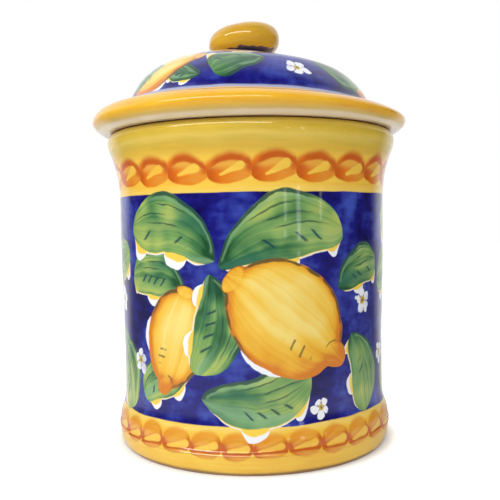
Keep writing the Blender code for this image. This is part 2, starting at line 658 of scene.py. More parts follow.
    def rays(self) -> tuple[Signal, Signal]:
        """Read whether a ray comes from the camera, and whether it comes off a glossy surface."""
        made = self.node("ShaderNodeLightPath")
        return Signal(self, made.outputs["Is Camera Ray"]), Signal(self, made.outputs["Is Glossy Ray"])

    def run(self) -> Signal:
        """Read the distance along the turned outline."""
        made = self.node("ShaderNodeAttribute", attribute_name=RUN_ATTRIBUTE)
        return Signal(self, made.outputs["Fac"])


Drawing = Callable[[Wiring, dict[str, Signal]], dict[str, Signal]]


@dataclass(frozen=True)
class Effect:
    """A shader node group with named inputs and outputs, built once and used in many glazes."""

    name: str
    inputs: dict[str, float]
    outputs: dict[str, str]
    draw: Drawing

    @property
    def tree(self) -> bpy.types.NodeTree:
        """The node group, which is built when it is first asked for.

        Returns:
            The group's tree.
        """
        found = bpy.data.node_groups.get(self.name)
        if found is not None:
            return found
        tree = bpy.data.node_groups.new(self.name, "ShaderNodeTree")
        for name, value in self.inputs.items():
            socket = tree.interface.new_socket(name=name, in_out="INPUT", socket_type="NodeSocketFloat")
            socket.default_value = value
        for name, kind in self.outputs.items():
            tree.interface.new_socket(name=name, in_out="OUTPUT", socket_type=kind)
        wiring = Wiring(tree)
        entry = wiring.node("NodeGroupInput")
        given = {name: Signal(wiring, entry.outputs[name]) for name in self.inputs}
        drawn = self.draw(wiring, given)
        leave = wiring.node("NodeGroupOutput")
        for name in self.outputs:
            wiring.feed(leave.inputs[name], drawn[name])
        return tree


# Brushwork


INK_HALF_WIDTH = 0.00044
LEAF_LINES = 3.1
LEAF_DABS = 8.2
LEMON_DASHES = 6
PETALS = 5
DROP_TAIL = 0.8
DROP_REACH = 1.16
WAVE_HEIGHT = 0.00008
GRAIN_HEIGHT = 0.000005
PIT_DEPTH = 0.00003
SEED_STEP = 1.37
PAINTED = {"Colour": "NodeSocketColor", "Cover": "NodeSocketFloat"}
FIGURE_INPUTS = {"X": 0.0, "Y": 0.0, "Patch": 0.5, "Loose": 0.5, "Seed": 0.0}


def sway(w: Wiring, given: dict[str, Signal]) -> tuple[Signal, Signal, Signal]:
    """Turn and size a figure a little by chance, so that no two of a kind are alike.

    Args:
        w: The group's wiring.
        given: The group's inputs.

    Returns:
        The place along, the place across, and the number drawn by chance, between 0 and 1.
    """
    luck = w.chance(given["Seed"])
    slant = (luck - 0.5) * 0.22
    size = 1.06 - luck * 0.12
    along = (given["X"] + given["Y"] * slant) * size
    across = (given["Y"] - given["X"] * slant) * size
    return along, across, luck


def draw_leaf(w: Wiring, given: dict[str, Signal]) -> dict[str, Signal]:
    """Draw a brushed leaf from its base at the origin to its tip along X.

    Its half width is a product of powers of the shares of length from the base and to the tip. Its
    middle line is a parabola. Green strokes run along it, each place across being a share of the
    half width, so that they meet at both ends, and they are dark at the base. Lines are drawn
    along the same shares on one side, between lengths that chance sets, and short dabs at even
    steps on the other. There the white ground stays bare in scallops, the positive part of a sine
    wave, and is yellow next to the leaf. Reserve's size is that edge's width and its sign the side.

    Args:
        w: The group's wiring.
        given: The group's inputs.

    Returns:
        The leaf's colour, and where it covers.
    """
    x, y, luck = sway(w, given)
    length, patch, loose = given["Length"], given["Patch"], given["Loose"]
    along = w.clamp(x / length)
    rest = 1 - along
    across = y / length - given["Bow"] * (along * rest * 4)
    lobes = w.math("SINE", along * 10 + given["Seed"] * 5) * 0.07 + 1
    half = given["Width"] * 2.12 * along**0.62 * rest**0.42 * lobes
    facing = w.math("SIGN", given["Reserve"])
    side = across * facing / (half + TINY)
    edge = w.math("MINIMUM", (half - abs(across)) * length, w.math("MINIMUM", x, length - x))

    streaks = w.bristles(side * 0.8 + given["Seed"] * 3 + along * 0.2 + patch * 0.18, scale=2.5)
    tint = w.bristles(side * 0.5 + given["Seed"] * 2 + patch * 0.4 + along * 0.8, scale=1.3, detail=1.0)
    light = 0.62 + (streaks - 0.5) * 1.05 + (patch - 0.5) * 1.1 - given["Tone"] * 0.22
    light = light + (along - 0.5) * 0.34 - w.smooth(abs(side), 0.8, 1.0) * 0.1
    light = light - w.smooth(along, 0.34, 0.0) * 0.5
    green = w.ramp(
        light, ((0.05, Pigment.FOREST), (0.34, Pigment.LEAF), (0.62, Pigment.FRESH), (0.95, Pigment.LIME))
    )
    green = w.lay(green, Pigment.TEAL, w.smooth(tint, 0.5, 0.66) * w.smooth(along, 0.9, 0.2) * 0.75)
    green = w.lay(green, Pigment.MINT, w.smooth(tint, 0.5, 0.34) * w.smooth(side, 0.3, -0.5) * 0.6)

    lane = side * LEAF_LINES + luck * 0.8 + (loose - 0.5) * 0.3
    chance = w.chance(w.math("FLOOR", lane) + given["Seed"] * 7)
    start = chance * 0.3 + 0.24
    off_line = (w.math("FRACT", lane) - 0.5) * half * length / LEAF_LINES
    line = w.stroke(off_line, loose * 0.0007, BRUSH_SOFTNESS)
    line = line * w.smooth(along, start, start + 0.1) * w.smooth(along, start + 0.5, start + 0.3)
    line = line * w.between(side, -0.2, 0.78, 0.04)
    outline = w.stroke(edge - 0.0008, INK_HALF_WIDTH * (loose * 5.4 - 0.6), BRUSH_SOFTNESS)
    upper = w.smooth(side, -0.1, 0.4) * w.smooth(rest, 0.1, 0.3)
    green = w.lay(green, Pigment.MINT, w.stroke(edge - 0.0028, 0.0008, 0.0007) * upper * 0.45)
    green = w.lay(green, Pigment.SLATE, w.clamp(line * 0.8 + outline * upper * 0.9))

    beat = along * LEAF_DABS + side * 1.4
    off_dab = (w.math("FRACT", beat) - 0.5) * length / LEAF_DABS
    dab = w.stroke(off_dab, 0.0004 + loose * 0.0007, BRUSH_SOFTNESS) * w.between(along, 0.3, 0.82, 0.03)
    dab = dab * w.smooth(w.chance(w.math("FLOOR", beat) + given["Seed"] * 3), 0.2, 0.25)
    dab = dab * w.smooth(abs(side + 0.42 + (luck - 0.5) * 0.2), 0.22, 0.13)
    green = w.lay(green, Pigment.TEAL_INK, dab * 0.85)

    scallops = w.math("MAXIMUM", w.math("SINE", along * 13.0 + luck * 12), 0.0) ** 0.5 * 0.9 + 0.16
    spread = abs(given["Reserve"]) * scallops * w.smooth(side, 0.12, -0.15) * (loose * 0.5 + 0.75)
    spread = spread * w.smooth(along * rest, 0.03, 0.14)
    ground = w.lay(Pigment.RESERVE_WHITE, Pigment.BUTTER, w.inside(edge + spread * 0.5, 0.0005))
    leaf = w.filled(edge, spread)
    return {"Colour": w.lay(ground, green, leaf), "Cover": w.inside(edge + spread, BRUSH_SOFTNESS)}


def draw_lemon(w: Wiring, given: dict[str, Signal]) -> dict[str, Signal]:
    """Draw a lemon about the origin, its nipple along X.

    The distance from the middle, in shares of the body's ellipse, is joined smoothly to the same
    measure of a small ellipse at the nipple and another at the stalk. Strokes run along meridians.
    Yellow turns to orange away from a light spot, and the rim is inked.

    Args:
        w: The group's wiring.
        given: The group's inputs.

    Returns:
        The lemon's colour, and where it covers.
    """
    along, across, luck = sway(w, given)
    x = along / given["Length"]
    y = across / given["Width"]
    patch, loose = given["Patch"], given["Loose"]

    def ellipse(centre_x: float, centre_y: float, half_x: float, half_y: float) -> Signal:
        """Give the distance from a middle in shares of an ellipse's half sizes.

        Args:
            centre_x: The middle's place along.
            centre_y: The middle's place across.
            half_x: Half the size along.
            half_y: Half the size across.

        Returns:
            The share, 1 on the ellipse.
        """
        tall = (y - centre_y) / half_y
        wide = (x - centre_x) / half_x
        return w.distance(wide, tall)

    body = ellipse(0.0, 0.0, 1.0, 1.0)
    nipple = ellipse(1.0, 0.0, 0.2, 0.24)
    stalk = ellipse(-0.98, 0.0, 0.13, 0.3)
    form = w.math("SMOOTH_MIN", w.math("SMOOTH_MIN", body, nipple, 0.3), stalk, 0.15)
    edge = (1 - form) * given["Width"]

    meridian = y / w.math("SQRT", w.math("MAXIMUM", 1.1 - x * x, 0.08))
    lines = meridian * 1.1 + given["Seed"] * 3 + x * 0.1 + patch * 0.16
    streaks = w.bristles(lines, scale=2.6, detail=4.0)
    rim = w.smooth(edge, 0.0052, 0.0004)
    shade = w.smooth(ellipse(-0.12, 0.16, 0.98, 0.98), 0.3, 1.2) * 0.6 + w.smooth(x, 0.72, 1.1) * 0.3
    shade = shade + rim * 0.4 + (streaks - 0.5) * 0.85 + (patch - 0.5) * 0.6 + 0.1
    skin = w.ramp(
        shade,
        ((0.05, Pigment.CREAM), (0.36, Pigment.SUN), (0.66, Pigment.STRAW), (0.95, Pigment.TANGERINE)),
    )
    outline = w.stroke(edge - 0.0006, INK_HALF_WIDTH * (loose * 4.4 - 0.4), BRUSH_SOFTNESS)
    outline = outline * w.smooth(y - x, -1.2, -0.2)
    neck = w.stroke((nipple - 1.15) * given["Width"] * 0.3, INK_HALF_WIDTH, BRUSH_SOFTNESS)
    neck = neck * w.inside(0.9 - body, 0.04) * w.smooth(y, -0.02, 0.05)
    off_dash = (w.math("FRACT", x * LEMON_DASHES + y) - 0.5) * given["Length"] / LEMON_DASHES
    dashes = w.stroke(off_dash, 0.00055, BRUSH_SOFTNESS)
    dashes = dashes * w.inside(1 - ellipse(0.4, -0.34, 0.24, 0.11), 0.1)
    ink = w.clamp(outline * 0.9 + neck * 0.8 + dashes * 0.75)
    skin = w.lay(skin, Pigment.OLIVE_INK, ink * w.smooth(loose, 0.2, 0.45))

    scallops = w.math("MAXIMUM", w.math("SINE", x * 4.2 + luck * 9), 0.0) ** 0.7
    spread = given["Reserve"] * w.smooth(y, -0.2, -0.7) * scallops * (loose * 0.8 + 0.6)
    fruit = w.filled(edge, spread)
    return {
        "Colour": w.lay(Pigment.RESERVE_WHITE, skin, fruit),
        "Cover": w.inside(edge + spread, BRUSH_SOFTNESS),
    }


def draw_blossom(w: Wiring, given: dict[str, Signal]) -> dict[str, Signal]:
    """Draw a loosely dabbed five-petalled blossom about the origin.

    Its radius swells and shrinks with the size of the cosine of two and a half times the angle, and
    each petal's length is drawn by chance. A yellow-green heart and short grey-blue dabs between
    the petals are laid on the bare white.

    Args:
        w: The group's wiring.
        given: The group's inputs.

    Returns:
        The blossom's colour, and where it covers.
    """
    x, y, luck = sway(w, given)
    radius, loose = given["Radius"], given["Loose"]
    angle = w.math("ARCTAN2", y, x) + luck * 2
    reach = w.distance(x, y)
    petal = w.math("FLOORED_MODULO", w.math("ROUND", angle * (PETALS / FULL_TURN)), float(PETALS))
    lobe = w.math("COSINE", angle * (PETALS / 2))
    length = w.chance(petal + given["Seed"] * 9) * 0.4 + 0.66
    ragged = abs(lobe) ** 0.45 * 0.5 * length + 0.42 + (loose - 0.5) * 0.9
    edge = radius * ragged - reach
    line = w.stroke(lobe * reach * 0.4, 0.0004, BRUSH_SOFTNESS)
    line = line * w.between(reach / radius, 0.26, 0.5, 0.06) * w.smooth(loose, 0.44, 0.5)
    petals = w.lay(Pigment.RESERVE_WHITE, Pigment.LAVENDER, w.smooth(given["Patch"], 0.5, 0.75) * 0.6)
    petals = w.lay(petals, Pigment.BLUE_INK, line * 0.75)
    heart = w.inside(radius * (0.14 + loose * 0.24) - reach, 0.0004)
    petals = w.lay(petals, Pigment.OLIVE_GOLD, heart)
    petals = w.lay(petals, Pigment.SLATE, w.inside(radius * 0.1 - reach, 0.0003) * 0.8)
    return {"Colour": petals, "Cover": w.inside(edge, BRUSH_SOFTNESS)}


def draw_rope(w: Wiring, given: dict[str, Signal]) -> dict[str, Signal]:
    """Draw one border of two brushed strands that cross at every whole step along.

    Along counts steps and Across runs from -1 to 1. In each step an arch of a sine wave stands over
    a bowl of another one, and the paint fills what lies between them. A leaning drop stays bare
    inside: the distance to a slanting line, less a radius that grows from its tail to its head. Lean
    is the line's rise for each half height along. The paint is dark where a strand passes the
    other, on the low left and the high right, along the arch's crown, and pale inside the arch.
    Pale makes the arches pale throughout, deepens the valleys between them, and draws a dark line
    under the drop.

    Args:
        w: The group's wiring.
        given: The group's inputs.

    Returns:
        The rope's colour, and how thickly it covers.
    """
    across, pale = given["Across"], given["Pale"]
    index = w.math("FLOOR", given["Along"])
    share = given["Along"] - index
    luck = w.chance(index + given["Seed"])
    bend = 0.7 - pale * 0.3
    swell = luck * 0.2 + 0.5 + pale * 0.18
    arch = w.math("SINE", share**1.1 * math.pi) ** bend * swell + 0.58
    arch = arch - pale * 0.36
    bowl = w.math("SINE", share**0.85 * math.pi) ** bend * (0.5 - luck * 0.1 + pale * 0.14) + 0.46
    bowl = bowl - pale * 0.34
    below_arch = arch - across

    ahead = (share - 0.6 - luck * 0.04) * given["Stretch"]
    lean = given["Lean"]
    higher = across + 0.05 + pale * 0.01
    passed = w.clamp(((ahead + higher * lean) / (lean * lean + 1) + DROP_TAIL) / DROP_REACH)
    nearest = passed * DROP_REACH - DROP_TAIL
    aside, above = ahead - nearest, higher - nearest * lean
    drop = (passed * 0.22 + 0.08) * (luck * 0.3 + 0.85) * (1 - pale * 0.2)
    drop = drop - w.distance(aside, above)

    low_left = w.smooth(share, 0.38, 0.05) * w.smooth(across, 0.45, -0.15)
    high_right = w.smooth(share, 0.78, 0.96) * w.smooth(across, -0.45, 0.0) * w.smooth(across, 0.7, 0.4)
    crown = w.smooth(below_arch, 0.80, 0.60) * w.between(share, 0.16, 0.86, 0.12) * (1 - pale)
    rim = (w.smooth(drop, -0.2, -0.04) * 0.3 + w.smooth(abs(across + 0.3), 0.16, 0.04)) * pale * 0.9
    streaks = w.bristles(below_arch * 1.1 + luck * 9 + share * 0.5 + given["Patch"] * 0.6, scale=2.4)
    valley = w.smooth(abs(share - 0.5), 0.31, 0.52) * w.smooth(abs(across + 0.1), 0.44, 0.0) * pale * 1.2
    sides = (low_left + high_right) * (0.95 - pale * 0.3) + valley
    dark = w.clamp(sides + crown + rim + (streaks - 0.5) * 0.9)
    faint = w.smooth(across, -0.25, 0.3) * w.smooth(below_arch, 0.58, 0.8) + pale * 0.64
    faint = w.clamp(faint + (streaks - 0.42) * 1.1 + w.smooth(share, 0.3, 0.75) * 0.32)
    orange = w.lay(Pigment.ORANGE, Pigment.PALE_ORANGE, faint)
    orange = w.lay(orange, Pigment.BURNT_ORANGE, dark * 0.85)
    cover = w.smooth(below_arch, -0.04, 0.46 - pale * 0.2) * w.smooth(bowl + across, -0.05, 0.07)
    cover = cover * w.inside(drop * -1.0, 0.05)
    return {"Colour": orange, "Cover": cover * w.clamp(1.0 - faint * 0.3 + dark * 0.3 + pale * 0.1)}


def draw_cobalt(w: Wiring, given: dict[str, Signal]) -> dict[str, Signal]:
    """Lay a cobalt wash that pools: slow noise for the pools, streaked noise for the brush.

    Args:
        w: The group's wiring.
        given: The group's inputs.

    Returns:
        The wash's colour.
    """
    place = w.position()
    pools = w.noise(w.stretch(place, (1.0, 1.0, 0.7)), scale=46.0, detail=3.0, roughness=0.6)
    brush = w.noise(w.stretch(place, (1.0, 1.0, 2.2)), scale=120.0)
    depth = given["Lightness"] + (pools - 0.5) * 2.1 + (brush - 0.5) * 0.7
    colour = w.ramp(
        depth, ((0.14, Pigment.DEEP_COBALT), (0.5, Pigment.COBALT), (0.95, Pigment.PALE_COBALT))
    )
    return {"Colour": colour}


def draw_band(w: Wiring, given: dict[str, Signal]) -> dict[str, Signal]:
    """Lay a band as a brush does on a turning wheel: noise drawn out round the pot.

    Args:
        w: The group's wiring.
        given: The group's inputs.

    Returns:
        How deep the band's colour lies, from 0 to 1.
    """
    place = w.position()
    lines = w.noise(w.stretch(place, (0.05, 0.05, 1.0)), scale=520.0, roughness=0.6)
    clouds = w.noise(place, scale=38.0)
    return {"Depth": w.clamp(given["Mean"] + (lines - 0.5) * 1.1 + (clouds - 0.5) * 1.1)}


def draw_hand(w: Wiring, given: dict[str, Signal]) -> dict[str, Signal]:
    """Give the unsteadiness of a painter's hand: three distances that wander, and two blotches.

    Args:
        w: The group's wiring.
        given: The group's inputs.

    Returns:
        The wander round, up and along an edge, in metres, and a wide and a narrow blotch.
    """
    place = w.position()
    slow = w.drift(place, scale=42.0, reach=0.0022)
    quick = w.drift(place, scale=210.0, reach=0.0004)
    wander = [(far + near) * given["Reach"] for far, near in zip(slow, quick)]
    return {
        "Round": wander[0],
        "Edge": wander[1] * 0.4,
        "Rise": wander[2],
        "Patch": w.noise(place, scale=70.0, detail=1.0),
        "Loose": w.noise(place, scale=170.0, detail=1.0),
    }


def draw_glaze_skin(w: Wiring, given: dict[str, Signal]) -> dict[str, Signal]:
    """Give a fired glaze's gloss and its faint waves and pinholes.

    Args:
        w: The group's wiring.
        given: The group's inputs.

    Returns:
        The roughness, and the height in metres.
    """
    place = w.position()
    waves = w.noise(place, scale=60.0)
    fine = w.noise(place, scale=420.0, detail=1.0)
    pits = w.smooth(w.noise(place, scale=800.0, detail=0.0), 0.84, 0.88)
    rough = given["Gloss"] + (w.noise(place, scale=90.0) - 0.5) * 0.06 + pits * 0.2
    height = waves * WAVE_HEIGHT + fine * GRAIN_HEIGHT - pits * PIT_DEPTH
    return {"Roughness": w.clamp(rough), "Height": height}


class Brushwork(Enum):
    """Every effect that the glazes share."""

    LEAF = Effect(
        "painted_leaf",
        FIGURE_INPUTS | {"Length": 0.05, "Width": 0.22, "Bow": 0.1, "Tone": 0.3, "Reserve": 0.003},
        PAINTED,
        draw_leaf,
    )
    LEMON = Effect(
        "painted_lemon",
        FIGURE_INPUTS | {"Length": 0.03, "Width": 0.02, "Reserve": 0.002},
        PAINTED,
        draw_lemon,
    )
    BLOSSOM = Effect("painted_blossom", FIGURE_INPUTS | {"Radius": 0.008}, PAINTED, draw_blossom)
    ROPE = Effect(
        "rope_border",
        {
            "Along": 0.0,
            "Across": 0.0,
            "Stretch": 2.8,
            "Lean": 0.5,
            "Pale": 0.0,
            "Patch": 0.5,
            "Seed": 0.0,
        },
        PAINTED,
        draw_rope,
    )
    COBALT = Effect("cobalt_wash", {"Lightness": 0.5}, {"Colour": "NodeSocketColor"}, draw_cobalt)
    BAND = Effect("wheel_band", {"Mean": 0.5}, {"Depth": "NodeSocketFloat"}, draw_band)
    HAND = Effect(
        "painter_hand",
        {"Reach": 1.0},
        dict.fromkeys(("Round", "Edge", "Rise", "Patch", "Loose"), "NodeSocketFloat"),
        draw_hand,
    )
    SKIN = Effect(
        "glaze_skin",
        {"Gloss": 0.075},
        dict.fromkeys(("Roughness", "Height"), "NodeSocketFloat"),
        draw_glaze_skin,
    )


@dataclass(frozen=True)
class Motif:
    """One painted figure, placed by the middle of its drawing on the unrolled surface.

    across and up are in metres, across being measured round the pot. turn is in degrees.
    """

    effect: Brushwork
    across: float
    up: float
    turn: float
    sizes: dict[str, float]
    seed: float = 0.0


@dataclass(frozen=True)
class Frieze:
    """A row of motifs that is painted several times round the pot, each time a little unlike."""

    motifs: tuple[Motif, ...]
    repeats: int
    reach: float

    def paint(
        self,
        w: Wiring,
        ground: Signal,
        hand: dict[str, Signal],
        turned: Signal,
        radius: Value,
        up: Signal,
    ) -> Signal:
        """Lay all motifs over a ground.

        Args:
            w: The glaze's wiring.
            ground: The colour that they are painted on.
            hand: The painter's unsteadiness.
            turned: The angle round the pot, 0 at the front.
            radius: The distance that one radian covers on the unrolled surface.
            up: The place across the frieze, in metres.

        Returns:
            The colour with the motifs on it.
        """
        sector = FULL_TURN / self.repeats
        paint = ground
        for motif in self.motifs:
            away = turned - motif.across / self.reach
            index = w.math("ROUND", away / sector)
            which = w.math("FLOORED_MODULO", index, float(self.repeats))
            x, y = w.turn((away - index * sector) * radius, up - motif.up, math.radians(motif.turn))
            figure = w.use(
                motif.effect.value,
                x=x,
                y=y,
                patch=hand["Patch"],
                loose=hand["Loose"],
                seed=which * SEED_STEP + motif.seed,
                **motif.sizes,
            )
            paint = w.lay(paint, figure["Colour"], figure["Cover"])
        return paint


def leaf(
    across: float,
    up: float,
    turn: float,
    length: float,
    width: float = 0.22,
    bow: float = 0.1,
    tone: float = 0.3,
    reserve: float = 0.003,
    seed: float = 0.0,
) -> Motif:
    """Place a leaf by its base, with its width and bow as shares of its length."""
    sizes = {"length": length, "width": width, "bow": bow, "tone": tone, "reserve": reserve}
    return Motif(Brushwork.LEAF, across, up, turn, sizes, seed)


def lemon(
    across: float, up: float, turn: float, length: float, width: float, seed: float = 0.0
) -> Motif:
    """Place a lemon by its middle, with its half length and half width."""
    sizes = {"length": length, "width": width, "reserve": 0.0026}
    return Motif(Brushwork.LEMON, across, up, turn, sizes, seed)


def blossom(across: float, up: float, turn: float, radius: float, seed: float = 0.0) -> Motif:
    """Place a blossom by its middle."""
    return Motif(Brushwork.BLOSSOM, across, up, turn, {"radius": radius}, seed)


# Glazes


@dataclass(frozen=True)
class Glaze:
    """A glossy fired glaze, whose colour a painting method gives."""

    name: str
    ior: float = 1.56
    bump_distance: float = 1.0
    bare_roughness: float = 0.85
    grit_height: float = 0.00012

    def colour(self, w: Wiring, place: Signal) -> Signal:
        """Give the painted colour; a plain glaze is tin white."""
        return w.lay(Pigment.TIN_WHITE, Pigment.UNDERSIDE, w.noise(place, scale=40.0))

    def bare(self, w: Wiring) -> Value:
        """Say where the clay is bare, from 0 to 1."""
        return 0.0

    def material(self) -> bpy.types.Material:
        """Build the material.

        Returns:
            A Principled material with the painting in its colour.
        """
        made = bpy.data.materials.new(self.name)
        made.use_nodes = True
        w = Wiring(made.node_tree)
        shader = made.node_tree.nodes["Principled BSDF"]
        place = w.position()
        skin = w.use(Brushwork.SKIN.value)
        painted = self.colour(w, place)
        clay = self.bare(w)
        grit = w.noise(place, scale=700.0, detail=3.0, roughness=0.7)
        biscuit = w.lay(Pigment.BISCUIT, Pigment.TOASTED_CLAY_AND_SHADE, w.smooth(grit, 0.45, 0.8))
        w.feed(shader.inputs["Base Color"], w.lay(painted, biscuit, clay))
        w.feed(shader.inputs["Roughness"], w.blend(skin["Roughness"], self.bare_roughness, clay))
        shader.inputs["IOR"].default_value = self.ior
        bump = w.node("ShaderNodeBump")
        bump.inputs["Strength"].default_value = 1.0
        bump.inputs["Distance"].default_value = self.bump_distance
        w.feed(bump.inputs["Height"], skin["Height"] + grit * w.clamp(clay) * self.grit_height)
        made.node_tree.links.new(bump.outputs["Normal"], shader.inputs["Normal"])
        return made


@dataclass(frozen=True)
class RopeBorder:
    """One rope border: its place and steps round the jar, its drops' lean, and how pale it is."""

    height: float
    half_width: float
    steps: int
    lean: float
    pale: float = 0.0
    seed: float = 0.0

    def paint(
        self, w: Wiring, ground: Signal, hand: dict[str, Signal], turned: Signal, up: Signal, radius: float
    ) -> Signal:
        """Lay the border over a ground.

        Args:
            w: The glaze's wiring.
            ground: The colour under the border.
            hand: The painter's unsteadiness.
            turned: The angle round the jar.
            up: The height on the jar.
            radius: The distance that one radian covers on the unrolled jar.

        Returns:
            The colour with the border on it.
        """
        drawn = w.use(
            Brushwork.ROPE.value,
            along=turned * (self.steps / FULL_TURN),
            across=(up - self.height) / self.half_width,
            stretch=FULL_TURN * radius / self.steps / self.half_width,
            lean=self.lean,
            pale=self.pale,
            patch=hand["Patch"],
            seed=self.seed,
        )
        return w.lay(ground, drawn["Colour"], drawn["Cover"])


@dataclass(frozen=True)
class JarGlaze(Glaze):
    """The jar's painting: a fruit frieze on cobalt between yellow bands with rope borders."""

    reference_radius: float = 0.0735
    panel_low: float = 0.0232
    panel_high: float = 0.1340
    borders: tuple[RopeBorder, ...] = (
        RopeBorder(height=0.1452, half_width=0.0078, steps=22, lean=0.42),
        RopeBorder(height=0.0141, half_width=0.0082, steps=29, lean=0.2, pale=1.0, seed=40.0),
    )
    # From here up the rim is laid olive and darker: partly the glaze's olive tint, partly painted shade
    # under the lid's flange.
    rim_olive_shade_low: float = 0.1525
    rim_olive_shade_blend: float = 0.003
    # Lines laid round the jar: the cream one at 0.1600 is a painted sheen on the rim's flare, the straw
    # one below it is darker yellow, and the lower two edge the cobalt panel.
    wheel_lines_and_sheen: tuple[tuple[float, Pigment, float], ...] = (
        (0.1600, Pigment.CREAM, 0.35),
        (0.1548, Pigment.STRAW, 0.40),
        (0.1350, Pigment.CREAM, 0.45),
        (0.0220, Pigment.CREAM, 0.80),
    )
    turn_half_width: float = 0.0010
    turn_softness: float = 0.0022
    # The cobalt grows lighter towards the bottom, most on the left and not at all on the far right.
    shift_heights: tuple[float, float] = (0.085, 0.040)
    shift_mean: float = 0.10
    shift_slope: float = 1.4
    # Runs above the glaze's start where the foot's brown line of toasted clay and painted shadow fades out
    # and where it is full.
    toasted_shade_runs: tuple[float, float] = (0.0036, 0.0018)
    edge_blend: float = 0.0006
    bare_blend: float = 0.0008
    glaze_start: float = 0.0
    paint_end: float = 0.0

    @property
    def frieze(self) -> Frieze:
        """The lemons, leaves and blossoms of one third of the way round.

        Returns:
            The jar's frieze.
        """
        # A leaf: across, up, turn, length, width, bow, tone, reserve, seed. A lemon: across, up, turn,
        # half length, half width, seed. A blossom: across, up, turn, radius, seed.
        return Frieze(
            (
                leaf(0.0440, 0.0880, 24, 0.036, 0.27, 0.10, 0.3, 0.0045, 5.1),
                leaf(-0.0260, 0.0350, 8, 0.054, 0.22, -0.10, 0.0, 0.0060, 6.3),
                leaf(-0.0340, 0.0880, 176, 0.040, 0.30, -0.14, 0.4, -0.0050, 2.2),
                leaf(0.0540, 0.0640, -66, 0.044, 0.29, 0.12, 0.2, 0.0045, 7.7),
                leaf(-0.0320, 0.0480, -155, 0.036, 0.28, -0.12, 0.3, -0.0045, 8.3),
                lemon(-0.0410, 0.0640, -112, 0.0235, 0.0180, 3.0),
                leaf(-0.0180, 0.1030, 160, 0.054, 0.25, -0.16, 0.0, -0.0070, 1.4),
                leaf(-0.0160, 0.1000, 12, 0.064, 0.23, 0.16, 0.1, 0.0060, 0.6),
                leaf(-0.0200, 0.0960, -96, 0.050, 0.24, 0.14, 0.5, 0.0050, 4.4),
                lemon(0.0165, 0.0740, -32, 0.0340, 0.0275, 1.0),
                blossom(0.0630, 0.0800, 20, 0.0080, 0.4),
                blossom(-0.0680, 0.0500, 50, 0.0070, 0.9),
                blossom(0.0330, 0.0300, 80, 0.0055, 1.6),
            ),
            repeats=3,
            reach=self.reference_radius,
        )

    def bare(self, w: Wiring) -> Value:
        """Bare clay under the foot, up to where the glaze starts."""
        return w.smooth(w.run(), self.glaze_start + self.bare_blend, self.glaze_start)

    def colour(self, w: Wiring, place: Signal) -> Signal:
        """Paint the bands, then the borders, then the frieze, then a brown foot line of toasted clay and
        painted contact shadow, then the bare inside.

        Args:
            w: The material's wiring.
            place: The place on the piece.

        Returns:
            The jar's colour.
        """
        x, y, z = w.separate(place)
        hand = w.use(Brushwork.HAND.value)
        turned = w.math("ARCTAN2", x, y * -1.0) + hand["Round"] / self.reference_radius
        up = z + hand["Rise"]
        band = w.use(Brushwork.BAND.value)["Depth"]
        yellow = w.lay(Pigment.BUTTER, Pigment.STRAW, band * 0.8)
        # Olive and darker on the rim: partly the glaze's tint, partly painted shade under the lid's
        # flange.
        olive = w.lay(Pigment.OLIVE_GOLD, Pigment.BUTTER, band * 0.55)
        low, blend = self.rim_olive_shade_low, self.rim_olive_shade_blend
        yellow = w.lay(yellow, olive, w.smooth(z, low - blend, low + blend))
        # The lines round the jar, the highest being a painted sheen.
        for height, pigment, cover in self.wheel_lines_and_sheen:
            laid = w.stroke(up - height, self.turn_half_width, self.turn_softness) * cover
            yellow = w.lay(yellow, pigment, laid)
        panel = w.between(z + hand["Edge"], self.panel_low, self.panel_high, BRUSH_SOFTNESS)
        # Lighter cobalt towards the bottom, most on the left.
        lower_cobalt_shift = w.smooth(z, *self.shift_heights) * (self.shift_mean - x * self.shift_slope)
        paint = w.lay(yellow, w.use(Brushwork.COBALT.value, lightness=lower_cobalt_shift + 0.5)["Colour"], panel)
        for border in self.borders:
            paint = border.paint(w, paint, hand, turned, up, self.reference_radius)
        paint = self.frieze.paint(w, paint, hand, turned, self.reference_radius, up)
        white = w.lay(Pigment.TIN_WHITE, Pigment.UNDERSIDE, hand["Patch"] * 0.5)
        run = w.run()
        # Toasted clay and painted contact shadow: a brown line at the foot's lowest glazed edge, where the
        # pot meets the floor.
        pale, brown = self.toasted_shade_runs
        toasted_shade = w.smooth(run + hand["Edge"], self.glaze_start + pale, self.glaze_start + brown)
        paint = w.lay(paint, Pigment.TOASTED_CLAY_AND_SHADE, toasted_shade * 0.8)
        end, blend = self.paint_end, self.edge_blend
        return w.lay(paint, white, w.smooth(run, end - blend, end + blend))


